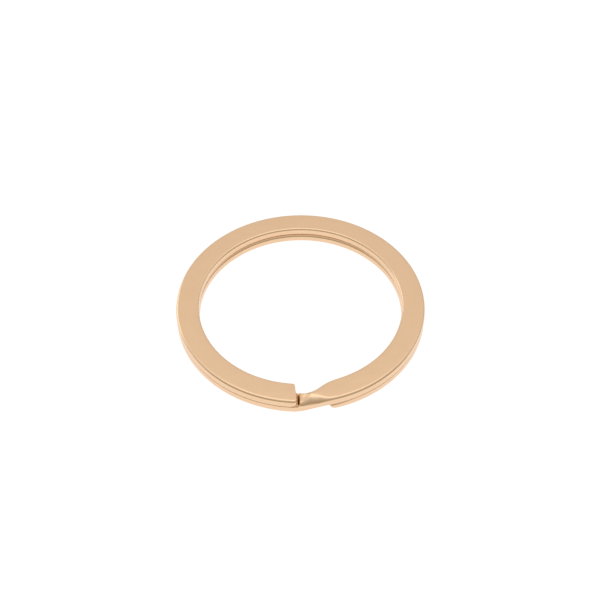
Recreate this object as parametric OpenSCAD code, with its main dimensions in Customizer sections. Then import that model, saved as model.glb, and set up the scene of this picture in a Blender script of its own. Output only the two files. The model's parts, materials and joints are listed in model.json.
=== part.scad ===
// Split key ring: one flat spring wire coiled into two stacked turns.
// A short stepped crossover at the front climbs from the lower turn to the upper one.
// A level lead on either side joins it to the turns. Each turn is a row of wire stretches
// that meet face to face at its bending places, round to a free end that can be pried away
// from the other turn.
// The ring lies flat: +Z is its axis, z = 0 its underside, and the crossover is at -Y.

/* [Ring] */
// Outside diameter of the ring
outside_d = 30; // [25:0.5:36]
// Width of the flat wire, across the ring
wire_w = 2.76; // [2.2:0.02:3]
// Thickness of the flat wire, along the ring's axis
wire_t = 0.98; // [0.8:0.02:1.2]
// Gap between the two turns at rest
turn_gap = 0.04; // [0.02:0.01:0.1]
// Rounding of the wire's long edges
edge_r = 0.24; // [0.1:0.02:0.34]

/* [Crossover] */
// Half the angle over which the wire's underside climbs one thickness
climb_half = 8.2; // [6:0.2:10]
// Angle from the crossover's middle at which the plain round turns begin
lead_end = 22.5; // [18:0.5:30]
// How far the inner edge stands outwards at the crossover's middle
neck_depth = 1.14; // [0:0.02:1.2]
// Angle from the middle at which the neck has faded to about a third
neck_spread = 7.8; // [6:0.2:9]
// Rounding of the outer top edge at the crossover's middle
shoulder_r = 1.18; // [0.4:0.02:1.2]

/* [Free ends] */
// Angle from the crossover's middle back to the end of the upper turn
upper_end_at = 6.2; // [4:0.2:12]
// Angle from the crossover's middle on to the end of the lower turn
lower_end_at = 8.2; // [6:0.2:14]
// Length of the bevel under each free end
bevel_length = 0.75; // [0.4:0.05:0.8]
// Height of the bevel under the upper turn's end, which clears the slope below it
bevel_height = 0.35; // [0.3:0.05:0.5]
// Height of the bevel under the lower turn's end
nose_height = 0.55; // [0.1:0.05:0.6]
// How far the inner corner of the upper turn's slanting end lies behind its outer corner
cut_slant = 0.36; // [0:0.02:0.5]
// Rounding of a free end's corners, seen from above
corner_r = 0.3; // [0.1:0.05:0.6]

/* [Stretches] */
// Stretches in each turn, with a bending place before each one
stretches = 8; // [8]

/* [Hidden] */

full_turn = 360;
front = -90; // direction of the crossover's middle, from +X
outer_r = outside_d / 2;
inner_r = outer_r - wire_w;
upper_z = wire_t + turn_gap; // underside of the upper turn
upper_step = (full_turn - upper_end_at - lead_end) / stretches;
lower_step = (full_turn - lower_end_at - lead_end) / stretches;
crossover_steps = 28; // steps along the crossover
lead_steps = 8; // steps along each lead
corner_steps = 6; // steps round each corner of its cross-section
neck_at = -0.7; // angle at which the neck is deepest
neck_fade = 8; // angle over which the neck is brought to nothing at the leads' far ends
shoulder_at = 0.9; // angle at which the outer top edge is rounded most
shoulder_spread = 4.5; // angle from there at which its rounding has faded to about a third
rise_from = -9.4; // angle at which the top begins to rise, under the upper turn's end
step_from = -6; // angle just past that end at which the top steps up
slope_from = -5.4; // angle from which it slopes on up to the upper turn's top
rise_angle = 3.6; // angle that each of the three takes, and its share of the climb
step_angle = 1.4;
slope_angle = 6;
rise_share = 0.2;
step_share = 0.3;
slope_share = 0.5;
overcut = 1; // how far a cutting shape reaches past what it cuts
curve_fn = 96;
wire_colour = [0.89, 0.75, 0.60];
crossover_colour = [0.85, 0.68, 0.52];

// Eases from 0 to 1 with level ends
function eased(u) = let (c = min(1, max(0, u))) c * c * (3 - 2 * c);

// A bell curve of height 1 that fades with the angle from the crossover's middle
function bell(angle, spread) = exp(-pow(angle / spread, 2));

// Height of the crossover's underside
function climb(angle) = upper_z * eased((angle + climb_half) / (2 * climb_half));

// Height of the crossover's top, which rises before the underside does
function crest(angle) =
    wire_t + upper_z * (
        rise_share * eased((angle - rise_from) / rise_angle)
        + step_share * eased((angle - step_from) / step_angle)
        + slope_share * eased((angle - slope_from) / slope_angle)
    );

// Inner radius along the crossover, drawn outwards into a neck
function necked_r(angle) =
    inner_r + neck_depth * bell(angle - neck_at, neck_spread)
        * eased((lead_end - abs(angle)) / neck_fade);

// Radius of the outer top edge's rounding along the crossover
function shoulder(angle) =
    edge_r + (shoulder_r - edge_r) * bell(angle - shoulder_at, shoulder_spread);

// Points round one quarter of a corner, in (radius, height)
function quarter(r, z, round_r, from) = [
    for (i = [0 : corner_steps])
        let (a = from + 90 * i / corner_steps)
            [r + round_r * cos(a), z + round_r * sin(a)]
];

// The wire's cross-section at one angle along the crossover, anticlockwise
function section(angle) =
    let (
        low = climb(angle),
        high = crest(angle),
        inside = necked_r(angle),
        s = min(shoulder(angle), high - low - edge_r - 0.02)
    )
        concat(
            quarter(outer_r - edge_r, low + edge_r, edge_r, -90),
            quarter(outer_r - s, high - s, s, 0),
            quarter(inside + edge_r, high - edge_r, edge_r, 90),
            quarter(inside + edge_r, low + edge_r, edge_r, 180)
        );

// Sweeps that cross-section from one angle to a larger one as a closed solid
module necked_stretch(from, to, steps) {
    count = 4 * (corner_steps + 1);
    points = [
        for (i = [0 : steps])
            let (a = from + (to - from) * i / steps)
                for (p = section(a)) [p[0] * cos(front + a), p[0] * sin(front + a), p[1]]
    ];
    skin = [
        for (i = [0 : steps - 1], k = [0 : count - 1])
            let (a = i * count + k, b = i * count + (k + 1) % count)
                each [[a, a + count, b], [b, a + count, b + count]]
    ];
    start_cap = [for (k = [0 : count - 1]) k];
    end_cap = [for (k = [count - 1 : -1 : 0]) steps * count + k];
    polyhedron(points = points, faces = concat(skin, [start_cap, end_cap]), convexity = 4);
}

// The flat wire's cross-section with rounded long edges, its lower inner corner at the origin
module wire_section() {
    translate([edge_r, 0]) square([wire_w - 2 * edge_r, wire_t]);
    translate([0, edge_r]) square([wire_w, wire_t - 2 * edge_r]);
    for (x = [edge_r, wire_w - edge_r], y = [edge_r, wire_t - edge_r])
        translate([x, y]) circle(r = edge_r, $fn = curve_fn);
}

// A level arc of the wire from one angle to a larger one, with its underside at height z
module arc(from, to, z) {
    translate([0, 0, z]) rotate([0, 0, front + from])
        rotate_extrude(angle = to - from, $fn = curve_fn) translate([inner_r, 0]) wire_section();
}

// Shapes that trim a free end: +X looks outwards, the wire ends at y = 0 and lies at y < 0
module end_cutters(z, bevel_height, slant) {
    // The slanting cut
    translate([0, 0, z - overcut]) linear_extrude(height = wire_t + 2 * overcut)
        polygon([
            [inner_r - overcut, -slant * (1 + overcut / wire_w)],
            [outer_r + overcut, slant * overcut / wire_w],
            [outer_r + overcut, 2 * overcut],
            [inner_r - overcut, 2 * overcut]
        ]);
    // The bevel under the end
    translate([inner_r - overcut, 0, z]) rotate([90, 0, 90])
        linear_extrude(height = wire_w + 2 * overcut)
            polygon([
                [-bevel_length - overcut, -overcut * bevel_height / bevel_length],
                [overcut, bevel_height + overcut * bevel_height / bevel_length],
                [overcut, -overcut * bevel_height / bevel_length]
            ]);
    // The rounded corners
    for (side = [0, 1])
        translate([side == 0 ? inner_r : outer_r, side == 0 ? -slant : 0, z - overcut]) mirror([side, 0, 0])
            difference() {
                translate([-overcut, -corner_r, 0])
                    cube([corner_r + overcut, corner_r + overcut, wire_t + 2 * overcut]);
                translate([corner_r, -corner_r, -overcut])
                    cylinder(r = corner_r, h = wire_t + 4 * overcut, $fn = curve_fn);
            }
}

// Stretch number i of the upper turn, counted from the crossover's right side anticlockwise
module upper_stretch(i) {
    from = lead_end + i * upper_step;
    color(wire_colour) arc(from, from + upper_step, upper_z);
}

// Stretch number i of the lower turn, counted from the crossover's left side clockwise
module lower_stretch(i) {
    to = -lead_end - i * lower_step;
    color(wire_colour) arc(to - lower_step, to, 0);
}

// The sloping stretch that climbs from the lower turn to the upper one
module crossover() {
    color(crossover_colour) necked_stretch(-climb_half, climb_half, crossover_steps);
}

// The level wire between the top of the slope and the plain upper turn
module upper_lead() {
    color(crossover_colour) necked_stretch(climb_half, lead_end, lead_steps);
}

// The level wire between the plain lower turn and the foot of the slope
module lower_lead() {
    color(crossover_colour) necked_stretch(-lead_end, -climb_half, lead_steps);
}

module upper_root() { upper_stretch(0); }
module upper_right() { upper_stretch(1); }
module upper_back_right() { upper_stretch(2); }
module upper_back() { upper_stretch(3); }
module upper_back_left() { upper_stretch(4); }
module upper_left() { upper_stretch(5); }
module upper_front_left() { upper_stretch(6); }

module upper_free_end() {
    color(wire_colour) difference() {
        upper_stretch(stretches - 1);
        rotate([0, 0, front - upper_end_at]) end_cutters(upper_z, bevel_height, cut_slant);
    }
}

module lower_root() { lower_stretch(0); }
module lower_left() { lower_stretch(1); }
module lower_back_left() { lower_stretch(2); }
module lower_back() { lower_stretch(3); }
module lower_back_right() { lower_stretch(4); }
module lower_right() { lower_stretch(5); }
module lower_front_right() { lower_stretch(6); }

module lower_free_end() {
    color(wire_colour) difference() {
        lower_stretch(stretches - 1);
        rotate([0, 0, front + lower_end_at]) mirror([0, 1, 0]) end_cutters(0, nose_height, 0);
    }
}

crossover();
upper_lead();
lower_lead();
upper_root();
upper_right();
upper_back_right();
upper_back();
upper_back_left();
upper_left();
upper_front_left();
upper_free_end();
lower_root();
lower_left();
lower_back_left();
lower_back();
lower_back_right();
lower_right();
lower_front_right();
lower_free_end();
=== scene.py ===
"""Split key ring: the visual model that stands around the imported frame.

The ring is one flat spring wire coiled twice. An angle along the wire is counted anticlockwise from the
front (-Y), where the crossover climbs from the lower turn to the upper one. Lengths are in metres.
"""

import json
import math

import bpy
from mathutils import Matrix, Vector


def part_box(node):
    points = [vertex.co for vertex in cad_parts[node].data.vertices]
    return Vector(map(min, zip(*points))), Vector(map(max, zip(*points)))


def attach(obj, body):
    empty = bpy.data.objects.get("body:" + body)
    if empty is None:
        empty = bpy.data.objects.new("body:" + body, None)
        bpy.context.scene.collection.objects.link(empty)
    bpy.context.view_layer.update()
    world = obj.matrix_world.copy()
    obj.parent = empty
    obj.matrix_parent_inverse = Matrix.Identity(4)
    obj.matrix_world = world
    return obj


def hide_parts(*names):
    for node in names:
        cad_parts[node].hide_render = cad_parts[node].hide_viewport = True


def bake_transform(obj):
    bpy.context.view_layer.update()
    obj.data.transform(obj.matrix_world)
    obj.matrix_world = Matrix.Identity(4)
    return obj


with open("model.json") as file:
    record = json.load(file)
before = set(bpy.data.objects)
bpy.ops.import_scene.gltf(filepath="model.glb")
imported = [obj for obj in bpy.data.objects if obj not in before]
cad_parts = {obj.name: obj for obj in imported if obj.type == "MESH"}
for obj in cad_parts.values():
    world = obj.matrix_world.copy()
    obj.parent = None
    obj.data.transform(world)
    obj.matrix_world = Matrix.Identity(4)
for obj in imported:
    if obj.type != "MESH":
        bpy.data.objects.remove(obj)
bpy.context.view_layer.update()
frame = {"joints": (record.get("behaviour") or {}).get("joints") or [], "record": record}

MM = 0.001
JOINTS = {joint["child"]: joint for joint in frame["joints"]}
MOUNTS = {mount["name"]: mount for mount in frame["record"]["mounts"]}

# The pieces of each turn in order from the crossover, as the CAD nodes that they stand for
UPPER = ["upper_lead", "upper_root", "upper_right", "upper_back_right", "upper_back",
         "upper_back_left", "upper_left", "upper_front_left", "upper_free_end"]
LOWER = ["lower_lead", "lower_root", "lower_left", "lower_back_left", "lower_back",
         "lower_back_right", "lower_right", "lower_front_right", "lower_free_end"]


# ---------------------------------------------------------------- sizes, from the frame

def height_span(node):
    low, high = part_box(node)
    return low[2], high[2]


def joint_angle(node):
    """Angle of the bending place before a stretch, in degrees."""
    x, y, _ = JOINTS[node]["pos_m"]
    return math.degrees(math.atan2(x, -y)) % 360


OUTER_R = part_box("upper_right")[1][0]
INNER_R = MOUNTS["inside_diameter"]["dims"]["r_mm"] * MM
WIRE_W = OUTER_R - INNER_R
MID_R = (OUTER_R + INNER_R) / 2
WIRE_T = height_span("lower_back")[1]
UPPER_Z = height_span("upper_back")[0]

UPPER_ROOT = joint_angle("upper_root")
UPPER_STEP = joint_angle("upper_right") - UPPER_ROOT
UPPER_END = UPPER_ROOT + 8 * UPPER_STEP
LOWER_ROOT = joint_angle("lower_root") - 360
LOWER_STEP = joint_angle("lower_left") - 360 - LOWER_ROOT
LOWER_END = LOWER_ROOT + 8 * LOWER_STEP

# ---------------------------------------------------------------- the wire's cross-section

EDGE_R = 0.27 * MM          # rounding of the wire's long edges where nothing else is said
BROW_R = 0.34 * MM          # rounding of the upper turn's outer top edge, which wears most
FOOT_R = 0.18 * MM          # rounding of the inner bottom edges
LIP_R = 0.40 * MM           # rounding of the lower turn's inner top edge, worn by keys sliding in
SEAM_R = 0.04 * MM          # rounding of the outer edges that face the other turn
SEAM_OPEN = 0.24 * MM       # how much rounder the lower turn's one is at its free end
SEAM_SPREAD = 10.0          # angle from there at which that has faded to about a third
CROWN = 0.012 * MM          # how far the flat faces stand proud at their middles
CORNER_STEPS = 8            # steps round each rounded edge
FACE_STEPS = 10             # steps across the wide faces
SIDE_STEPS = 4              # steps up the narrow sides

LOWER_DRIFT = 0.14 * MM     # how far inside the upper turn the lower one lies at the back
LEAD_END = UPPER_ROOT       # where the plain round turns begin, on both sides of the crossover
CLIMB_HALF = 8.2            # half the angle over which the underside climbs

# How the top climbs, as (share of the climb, angle where it starts, angle it takes): first under the bevel
# of the upper turn's end, then up a steep step just past that end, then along a slope
TOP_CLIMB = [(0.20, -9.4, 3.6), (0.30, -6.0, 1.4), (0.50, -5.4, 6.0)]

NECK_DEPTH = 1.14 * MM      # how far the inner edge stands outwards at the crossover
NECK_AT = -0.7              # angle at which it stands out furthest
NECK_SPREAD = 7.8           # angle from there at which the neck has faded to about a third
NECK_FADE = 8.0             # angle over which it is brought to nothing

SHOULDER_R = 0.92 * MM      # how much rounder the outer top edge is where the forming tool rolled it over
SHOULDER_AT = 0.9           # angle at which it is roundest
SHOULDER_BEFORE = 4.8       # angle before that at which it has faded to about a third
SHOULDER_AFTER = 4.9        # the same angle after it
BROW_START = -12.0          # angle at which the outer top edge begins to widen out of the seam
BROW_OVER = 8.0             # angle it takes
HEEL_START = -2.0           # angle at which the outer bottom edge begins to sharpen
HEEL_OVER = 9.0             # angle it takes
THROAT_R = 0.14 * MM        # how much rounder the inner top edge is at the neck
THROAT_AT = -2.0            # angle at which it is roundest
THROAT_SPREAD = 5.0         # angle from there at which it has faded to about a third
LIP_END = -20.0             # angle at which the lower turn's wide inner top edge begins to narrow
LIP_OVER = 14.0             # angle it takes

CUT_SLANT = 0.36 * MM       # how far the upper end's inner corner lies behind its outer one
STEP_SLANT = 0.14 * MM      # the same of the step beside it, so the groove widens inwards
SLANT_SPREAD = 5.0          # angle from the cut at which the slant has faded to about a third


def eased(u):
    u = min(1.0, max(0.0, u))
    return u * u * (3 - 2 * u)


def bell(angle, spread):
    return math.exp(-((angle / spread) ** 2))


def changing(angle, before, after, start, over):
    """A value that eases from before to after, beginning at the angle start."""
    return before + (after - before) * eased((angle - start) / over)


def underside(angle):
    """Height of the wire's underside along the crossover."""
    return UPPER_Z * eased((angle + CLIMB_HALF) / (2 * CLIMB_HALF))


def topside(angle):
    """Height of the wire's top along the crossover, where it climbs before the underside does."""
    return WIRE_T + UPPER_Z * sum(share * eased((angle - start) / over) for share, start, over in TOP_CLIMB)


def inner_radius(angle):
    """Radius of the wire's inner side along the crossover, where it is necked."""
    neck = NECK_DEPTH * bell(angle - NECK_AT, NECK_SPREAD) * eased((LEAD_END - abs(angle)) / NECK_FADE)
    return INNER_R + neck


def shoulder(angle):
    """Rounding of the crossover's outer top edge."""
    plain = changing(angle, SEAM_R, BROW_R, BROW_START, BROW_OVER)
    spread = SHOULDER_BEFORE if angle < SHOULDER_AT else SHOULDER_AFTER
    return plain + SHOULDER_R * bell(angle - SHOULDER_AT, spread)


def heel(angle):
    """Rounding of the crossover's outer bottom edge, which ends up over the lower turn."""
    return changing(angle, EDGE_R, SEAM_R, HEEL_START, HEEL_OVER)


def throat(angle):
    """Rounding of the crossover's inner top edge."""
    plain = changing(angle, LIP_R, EDGE_R, LIP_END, LIP_OVER)
    return plain + THROAT_R * bell(angle - THROAT_AT, THROAT_SPREAD)


def drift(angle):
    """How far outwards the lower turn stands: its back lies a little inside the upper turn's."""
    return -LOWER_DRIFT * eased(-math.cos(math.radians(angle)))


def arc_points(r, z, radius, start, steps):
    """A quarter circle from the angle start, anticlockwise."""
    return [(r + radius * math.cos(math.radians(start + 90 * i / steps)),
             z + radius * math.sin(math.radians(start + 90 * i / steps))) for i in range(steps + 1)]


def between(a, b, steps, crown=(0.0, 0.0)):
    """Points strictly between two corners, bowed outwards by crown at the middle."""
    out = []
    for i in range(1, steps):
        u = i / steps
        bow = 4 * u * (1 - u)
        out.append((a[0] + (b[0] - a[0]) * u + crown[0] * bow,
                    a[1] + (b[1] - a[1]) * u + crown[1] * bow))
    return out


def outline(inner, outer, low, high, top_outer, bottom_outer, top_inner=EDGE_R):
    """The cross-section as (radius, height) points, anticlockwise from the outer bottom edge. The last three
    are the rounding of its edges, which is cut down where the wire is too thin to hold it."""
    low, high = low + CROWN, high - CROWN
    room = 0.49 * (high - low)
    bottom_inner = min(FOOT_R, room, 0.49 * (outer - inner))
    bottom_outer = min(bottom_outer, room)
    top_outer = min(top_outer, 0.97 * (high - low - bottom_outer))
    corners = [
        arc_points(outer - bottom_outer, low + bottom_outer, bottom_outer, -90, CORNER_STEPS),
        arc_points(outer - top_outer, high - top_outer, top_outer, 0, CORNER_STEPS),
        arc_points(inner + top_inner, high - top_inner, top_inner, 90, CORNER_STEPS),
        arc_points(inner + bottom_inner, low + bottom_inner, bottom_inner, 180, CORNER_STEPS),
    ]
    bows = [(0.0, 0.0), (0.0, CROWN), (0.0, 0.0), (0.0, -CROWN)]
    steps = [SIDE_STEPS, FACE_STEPS, SIDE_STEPS, FACE_STEPS]
    points = []
    for k in range(4):
        following = corners[(k + 1) % 4][0]
        points += corners[k] + between(corners[k][-1], following, steps[k], bows[k])
    return points


def outer_edges(angle, low):
    """Rounding of a turn's outer top and bottom edges: the one in the seam is sharper than the other."""
    if low > 0:
        return BROW_R, SEAM_R
    return SEAM_R + SEAM_OPEN * bell(angle - LOWER_END, SEAM_SPREAD), EDGE_R


def turn_section(angle, low):
    """The section of a plain round turn whose underside is at the height low."""
    out, lip = (0.0, EDGE_R) if low > 0 else (drift(angle), LIP_R)
    return outline(INNER_R + out, OUTER_R + out, low, low + WIRE_T, *outer_edges(angle, low), lip)


def crossover_section(angle):
    edges = (shoulder(angle), heel(angle), throat(angle))
    return outline(inner_radius(angle), OUTER_R, underside(angle), topside(angle), *edges)


# ---------------------------------------------------------------- sweeping the wire

def place(angle, r, z):
    """The point at an angle along the wire, a radius and a height."""
    a = math.radians(angle)
    return (r * math.sin(a), -r * math.cos(a), z)


def slanted(angle, end, r, slant):
    """The angle of a point beside the upper turn's end, where the wire leans with the slanting cut."""
    lean = math.degrees(slant / MID_R) * bell(angle - end, SLANT_SPREAD)
    return angle - lean * (OUTER_R - r) / WIRE_W


def edge_shares():
    """For each point of an outline, 1 on the rounded edges and 0 on the flat faces."""
    shares = []
    for k, steps in enumerate([SIDE_STEPS, FACE_STEPS, SIDE_STEPS, FACE_STEPS]):
        shares += [math.sin(math.pi * i / CORNER_STEPS) ** 0.5 for i in range(CORNER_STEPS + 1)]
        shares += [0.0] * (steps - 1)
    return shares


def sweep(name, angles, section, slant=0.0):
    """A closed mesh through the cross-sections at the given angles, smooth along and round the wire.
    With a slant, the sections lean with the upper turn's cut."""
    rings = [section(a) for a in angles]
    n = len(rings[0])
    end = UPPER_END if angles[0] > 180 else UPPER_END - 360
    verts = [place(slanted(a, end, r, slant), r, z) for a, ring in zip(angles, rings) for r, z in ring]
    faces = []
    for i in range(len(angles) - 1):
        for k in range(n):
            a, b = i * n + k, i * n + (k + 1) % n
            faces.append((a, b, b + n, a + n))
    rising = angles[-1] > angles[0]
    if rising:
        faces = [f[::-1] for f in faces]
    first, last = list(range(n)), [(len(angles) - 1) * n + k for k in range(n)]
    caps = [first, last[::-1]] if rising else [first[::-1], last]
    faces += [tuple(c) for c in caps]
    mesh = bpy.data.meshes.new(name)
    mesh.from_pydata(verts, [], faces)
    mesh.validate()
    for polygon in mesh.polygons:
        polygon.use_smooth = len(polygon.vertices) == 4
    mark_sharp(mesh, set(first), set(last))
    write_wire_coordinates(mesh, angles, rings)
    obj = bpy.data.objects.new(name, mesh)
    bpy.context.scene.collection.objects.link(obj)
    return obj


def mark_sharp(mesh, *rims):
    """Keeps the shading from running round the rims of a piece's two end faces."""
    for edge in mesh.edges:
        if any(edge.vertices[0] in rim and edge.vertices[1] in rim for rim in rims):
            edge.use_edge_sharp = True


def write_wire_coordinates(mesh, angles, rings):
    """Stores where each point is along and round the wire, in millimetres, and how far it is on an edge."""
    shares = edge_shares()
    mesh.attributes.new("wire", "FLOAT_VECTOR", "POINT")
    mesh.attributes.new("edge", "FLOAT", "POINT")
    places, edges = [], []
    for angle, ring in zip(angles, rings):
        total = 0.0
        for k, (r, z) in enumerate(ring):
            if k:
                total += math.dist(ring[k - 1], (r, z))
            places += [math.radians(angle) * MID_R / MM, total / MM, 0.0]
            edges.append(shares[k])
    mesh.attributes["wire"].data.foreach_set("vector", places)
    mesh.attributes["edge"].data.foreach_set("value", edges)


def spaced(a, b, step=0.5):
    """Even angles from a to b, about a step apart."""
    count = max(2, round(abs(b - a) / step))
    return [a + (b - a) * i / count for i in range(count + 1)]


# ---------------------------------------------------------------- the free ends

TIP_INNER = 0.30 * MM       # rounding of an end's inner corner, seen from above
TIP_OUTER = 0.30 * MM       # rounding of its outer corner
TIP_EDGE = 0.05 * MM        # rounding of its upper and lower edges
BEVEL_L = 0.75 * MM         # length of the bevel under the upper end
BEVEL_H = 0.35 * MM         # its height at the end
NOSE_L = 0.85 * MM          # length of the rounding under the lower end
NOSE_H = 0.70 * MM          # its height at the end
DROOP = 0.12 * MM           # how far the lower end stands off the upper turn
DROOP_SPREAD = 8.0          # angle from the end at which that has faded to about a third
TIP_FINE = 1.2 * MM         # length of the finely divided part of an end
TIP_STEPS = 28              # its steps


def rounded_off(distance, radius):
    """How far a corner of this radius is drawn in at a distance from the end."""
    if distance >= radius:
        return 0.0
    return radius - math.sqrt(max(0.0, radius ** 2 - (radius - distance) ** 2))


def bevel_under(distance):
    """How far the upper end's underside is cut away at a distance from the end: a flat bevel."""
    return BEVEL_H * max(0.0, 1 - distance / BEVEL_L)


def nose_under(distance):
    """The same of the lower end: a rounded nose."""
    u = max(0.0, 1 - distance / NOSE_L)
    return NOSE_H * (1 - math.sqrt(1 - u * u))


def tip_section(end, low, relief):
    """The section near an end; relief gives how far its underside rises at a distance from the end."""
    def section(angle):
        d = abs(math.radians(end - angle)) * MID_R
        lip = rounded_off(d, TIP_EDGE)
        droop = 0.0 if low > 0 else DROOP * bell(angle - end, DROOP_SPREAD)
        inner = INNER_R + rounded_off(d, TIP_INNER)
        outer = OUTER_R - rounded_off(d, TIP_OUTER)
        high = low + WIRE_T - lip - droop
        brow, foot = outer_edges(angle, low)
        room = 0.45 * (outer - inner)
        inner_brow = min(EDGE_R if low > 0 else LIP_R, room)
        return outline(inner, outer, low + relief(d) + lip, high, brow, foot, inner_brow)
    return section


def tip_angles(start, end):
    """Even steps, then ever finer ones round the end's corners."""
    direction = 1 if end > start else -1
    fine = math.degrees(TIP_FINE / MID_R) * direction
    finer = [end - fine * (1 - i / TIP_STEPS) ** 2 for i in range(1, TIP_STEPS + 1)]
    return spaced(start, end - fine) + finer


# ---------------------------------------------------------------- materials

def link(tree, a, out, b, into):
    tree.links.new(a.outputs[out], b.inputs[into])


def ramp(nodes, stops):
    """A colour ramp with the given (position, colour) stops."""
    node = nodes.new("ShaderNodeValToRGB")
    elements = node.color_ramp.elements
    elements[0].position, elements[0].color = stops[0]
    elements[1].position, elements[1].color = stops[-1]
    for position, colour in stops[1:-1]:
        element = elements.new(position)
        element.color = colour
    return node


def grey(v):
    return (v, v, v, 1.0)


def wire_metal(name, tint):
    """Satin rose-gold plating, drawn along the wire and burnished on its edges, where the base colour is also
    painted paler as a painted highlight.
    """
    material = bpy.data.materials.new(name)
    material.use_nodes = True
    tree = material.node_tree
    nodes = tree.nodes
    shader = nodes["Principled BSDF"]
    shader.inputs["Metallic"].default_value = 1.0
    wire = nodes.new("ShaderNodeAttribute")
    wire.attribute_name = "wire"
    edge = nodes.new("ShaderNodeAttribute")
    edge.attribute_name = "edge"

    def noise(scale_along, scale_round, detail, scale=1.0):
        mapping = nodes.new("ShaderNodeMapping")
        mapping.inputs["Scale"].default_value = (scale_along, scale_round, 1.0)
        link(tree, wire, "Vector", mapping, "Vector")
        node = nodes.new("ShaderNodeTexNoise")
        node.inputs["Scale"].default_value = scale
        node.inputs["Detail"].default_value = detail
        link(tree, mapping, "Vector", node, "Vector")
        return node

    cloud = noise(0.35, 0.7, 3.0)
    grain = noise(1.6, 26.0, 4.0)
    speckle = noise(24.0, 24.0, 2.0)

    colour = ramp(nodes, [(0.30, tint[0]), (0.70, tint[1])])
    link(tree, cloud, "Fac", colour, "Fac")
    # Painted highlight: the rounded edges get a paler base colour; their real burnish is the lower roughness
    # further down
    burnish_and_painted_highlight = nodes.new("ShaderNodeMix")
    burnish_and_painted_highlight.data_type = "RGBA"
    link(tree, edge, "Fac", burnish_and_painted_highlight, "Factor")
    tree.links.new(colour.outputs["Color"], burnish_and_painted_highlight.inputs[6])
    burnish_and_painted_highlight.inputs[7].default_value = tint[2]
    tree.links.new(burnish_and_painted_highlight.outputs[2], shader.inputs["Base Color"])

    rough = ramp(nodes, [(0.25, grey(0.26)), (0.75, grey(0.37))])
    link(tree, grain, "Fac", rough, "Fac")
    burnish = nodes.new("ShaderNodeMath")
    burnish.operation = "MULTIPLY_ADD"
    link(tree, edge, "Fac", burnish, 0)
    burnish.inputs[1].default_value = -0.10
    link(tree, rough, "Color", burnish, 2)
    link(tree, burnish, "Value", shader, "Roughness")

    mixed = nodes.new("ShaderNodeMath")
    mixed.operation = "MULTIPLY_ADD"
    link(tree, speckle, "Fac", mixed, 0)
    mixed.inputs[1].default_value = 0.5
    link(tree, grain, "Fac", mixed, 2)
    bump = nodes.new("ShaderNodeBump")
    bump.inputs["Strength"].default_value = 0.15
    bump.inputs["Distance"].default_value = 0.01 * MM
    link(tree, mixed, "Value", bump, "Height")
    link(tree, bump, "Normal", shader, "Normal")
    return material


# ---------------------------------------------------------------- the ring

# Reflected colour of the plating: the two ends of its faint clouding, then its burnished edges, painted paler
# there as a painted highlight
RING_TINT = ((0.845, 0.580, 0.370, 1), (0.865, 0.600, 0.390, 1), (0.88, 0.625, 0.42, 1))
ring_metal = wire_metal("rose_gold_wire", RING_TINT)
step_metal = wire_metal("rose_gold_crossover", RING_TINT)


def finish_piece(obj, node, material):
    obj.data.materials.append(material)
    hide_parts(node)
    return obj


LEAD_SHARE = 0.4            # share of a stretch by which a turn's first piece begins before its first joint
BLEND_INSET = 0.08          # share of a piece at each end at which a point on the wire's middle line is worked out, and not used further


def build_turn(names, root, step, end, z):
    """Pieces from the middle of one stretch to the middle of the next, each over one joint, then the free
    end, which is attached to its body; the other pieces are not.
    """
    middles = [root - LEAD_SHARE * step] + [root + (i + 0.5) * step for i in range(8)]
    for i in range(8):
        a, b = middles[i], middles[i + 1]
        piece = sweep(names[i] + "_wire", spaced(a, b), wire_section(z))
        finish_piece(piece, names[i], ring_metal)
        inset = BLEND_INSET * (b - a)
        start, stop = place(a + inset, MID_R, z), place(b - inset, MID_R, z)
        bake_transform(piece)
        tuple(start)
        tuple(stop)
    upper = names is UPPER
    section = tip_section(end, z, bevel_under if upper else nose_under)
    tip = sweep(names[8] + "_wire", tip_angles(middles[8], end), section, CUT_SLANT if upper else 0.0)
    finish_piece(tip, names[8], ring_metal)
    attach(tip, names[8])
    return middles[0]


def wire_section(z):
    """The section at any angle of a turn at the height z, with the crossover at its start."""
    def section(angle):
        return crossover_section(angle) if abs(angle) < LEAD_END else turn_section(angle, z)
    return section


upper_start = build_turn(UPPER, UPPER_ROOT, UPPER_STEP, UPPER_END, UPPER_Z)
lower_start = build_turn(LOWER, LOWER_ROOT, LOWER_STEP, LOWER_END, 0.0)
crossing = sweep("crossover_wire", spaced(lower_start, upper_start, 0.1), crossover_section, STEP_SLANT)
finish_piece(crossing, "crossover", step_metal)
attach(crossing, "crossover")


# ---------------------------------------------------------------- floor, light and camera

FLOOR_DROP = 4.2 * MM       # the floor lies clear of the lower turn's end when that is pried down


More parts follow.
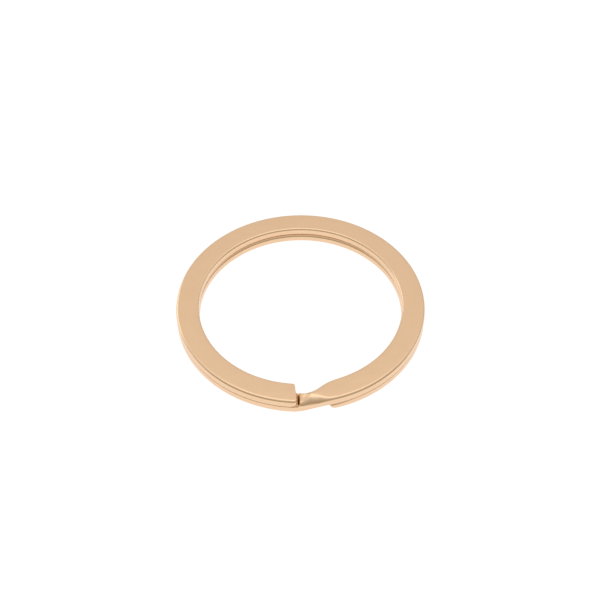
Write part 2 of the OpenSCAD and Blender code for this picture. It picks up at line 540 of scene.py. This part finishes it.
def build_floor():
    """A white light table, lit from below, so that nothing on it throws a hard shadow."""
    size, rings, spokes = 8.0, 10, 64
    verts, faces = [(0.0, 0.0, -FLOOR_DROP)], []
    for i in range(1, rings + 1):
        reach = size * i / rings
        turns = [2 * math.pi * k / spokes for k in range(spokes)]
        verts += [(reach * math.cos(t), reach * math.sin(t), -FLOOR_DROP) for t in turns]
    faces += [(0, 1 + k, 1 + (k + 1) % spokes) for k in range(spokes)]
    for i in range(rings - 1):
        a, b = 1 + i * spokes, 1 + (i + 1) * spokes
        faces += [(a + k, b + k, b + (k + 1) % spokes, a + (k + 1) % spokes) for k in range(spokes)]
    mesh = bpy.data.meshes.new("floor")
    mesh.from_pydata(verts, [], faces)
    floor = bpy.data.objects.new("floor", mesh)
    bpy.context.scene.collection.objects.link(floor)
    material = bpy.data.materials.new("pale_floor")
    material.use_nodes = True
    shader = material.node_tree.nodes["Principled BSDF"]
    shader.inputs["Base Color"].default_value = (0.06, 0.06, 0.06, 1)
    shader.inputs["Roughness"].default_value = 0.9
    shader.inputs["Specular IOR Level"].default_value = 0.0
    shader.inputs["Emission Color"].default_value = (1.0, 1.0, 1.0, 1)
    shader.inputs["Emission Strength"].default_value = 1.0
    mesh.materials.append(material)


def warm(v):
    return (v, 0.985 * v, 0.94 * v, 1.0)


def brown(v):
    return (v, 0.91 * v, 0.72 * v, 1.0)


def build_world():
    """Even light behind and above, and a darker room in front. Seen directly it is white, as the floor is."""
    world = bpy.data.worlds.new("studio")
    bpy.context.scene.world = world
    world.use_nodes = True
    tree = world.node_tree
    nodes = tree.nodes
    background = nodes["Background"]
    coords = nodes.new("ShaderNodeTexCoord")
    split = nodes.new("ShaderNodeSeparateXYZ")
    link(tree, coords, "Generated", split, "Vector")
    behind = ramp(nodes, [(0.0, warm(0.50)), (0.12, warm(0.54)), (0.32, warm(0.68)), (0.52, warm(0.82)),
                          (0.72, warm(0.85)), (0.88, warm(0.85)), (1.0, warm(0.94))])
    before = ramp(nodes, [(0.0, brown(0.46)), (0.25, brown(0.45)), (0.50, brown(0.48)), (0.75, warm(0.58)),
                          (0.90, warm(0.72)), (0.97, warm(0.88)), (1.0, warm(0.94))])
    link(tree, split, "Z", behind, "Fac")
    link(tree, split, "Z", before, "Fac")
    side = nodes.new("ShaderNodeMapRange")
    side.interpolation_type = "SMOOTHSTEP"
    side.inputs["From Min"].default_value = 0.15
    side.inputs["From Max"].default_value = -0.28
    link(tree, split, "Y", side, "Value")
    mixed = nodes.new("ShaderNodeMix")
    mixed.data_type = "RGBA"
    link(tree, side, "Result", mixed, "Factor")
    tree.links.new(behind.outputs["Color"], mixed.inputs[6])
    tree.links.new(before.outputs["Color"], mixed.inputs[7])
    seen = nodes.new("ShaderNodeLightPath")
    plain = nodes.new("ShaderNodeMix")
    plain.data_type = "RGBA"
    link(tree, seen, "Is Camera Ray", plain, "Factor")
    tree.links.new(mixed.outputs[2], plain.inputs[6])
    plain.inputs[7].default_value = (1.0, 1.0, 1.0, 1.0)
    tree.links.new(plain.outputs[2], background.inputs["Color"])
    background.inputs["Strength"].default_value = 1.0


def area_light(name, location, size, brightness, target=(0.0, 0.0, 0.0)):
    """A softbox of an even brightness, in the same units as the world's."""
    data = bpy.data.lights.new(name, "AREA")
    data.shape = "RECTANGLE"
    data.size, data.size_y = size
    data.energy = brightness * math.pi * size[0] * size[1]
    light = bpy.data.objects.new(name, data)
    light.location = location
    aim = Vector(target) - Vector(location)
    light.rotation_euler = aim.to_track_quat("-Z", "Y").to_euler()
    bpy.context.scene.collection.objects.link(light)


CAMERA_ELEVATION = 49.22
CAMERA_TURN = -4.5          # the camera stands this far round from the crossover's middle
CAMERA_ROLL = -0.29
CAMERA_DISTANCE = 0.13897
CAMERA_LENS = 68.72
SENSOR = 36.0
FRAME_PX = 600
CENTRE_PX = (0.50, 6.95)    # how far right of and below the picture's centre the ring's centre falls


def build_camera():
    data = bpy.data.cameras.new("camera")
    data.lens, data.sensor_width = CAMERA_LENS, SENSOR
    data.clip_start = 0.01
    camera = bpy.data.objects.new("camera", data)
    bpy.context.scene.collection.objects.link(camera)
    turn, rise = math.radians(CAMERA_TURN), math.radians(CAMERA_ELEVATION)
    target = Vector((0.0, 0.0, (UPPER_Z + WIRE_T) / 2))
    away = Vector((math.sin(turn) * math.cos(rise), -math.cos(turn) * math.cos(rise), math.sin(rise)))
    right = Vector((math.cos(turn), math.sin(turn), 0.0))
    up = away.cross(right)
    metres_per_px = CAMERA_DISTANCE * SENSOR / CAMERA_LENS / FRAME_PX
    aim = target - right * CENTRE_PX[0] * metres_per_px + up * CENTRE_PX[1] * metres_per_px
    camera.location = target + away * CAMERA_DISTANCE
    look = (aim - camera.location).to_track_quat("-Z", "Y")
    roll = Matrix.Rotation(math.radians(CAMERA_ROLL), 4, "Z")
    camera.matrix_world = Matrix.Translation(camera.location) @ look.to_matrix().to_4x4() @ roll
    bpy.context.scene.camera = camera


build_floor()
build_world()
area_light("overhead", (0.0, 0.10, 0.55), (0.5, 0.24), 0.52)
area_light("left_window", (-0.42, 0.36, 0.20), (0.35, 0.30), 0.75)
build_camera()
bpy.context.scene.view_settings.view_transform = "Standard"
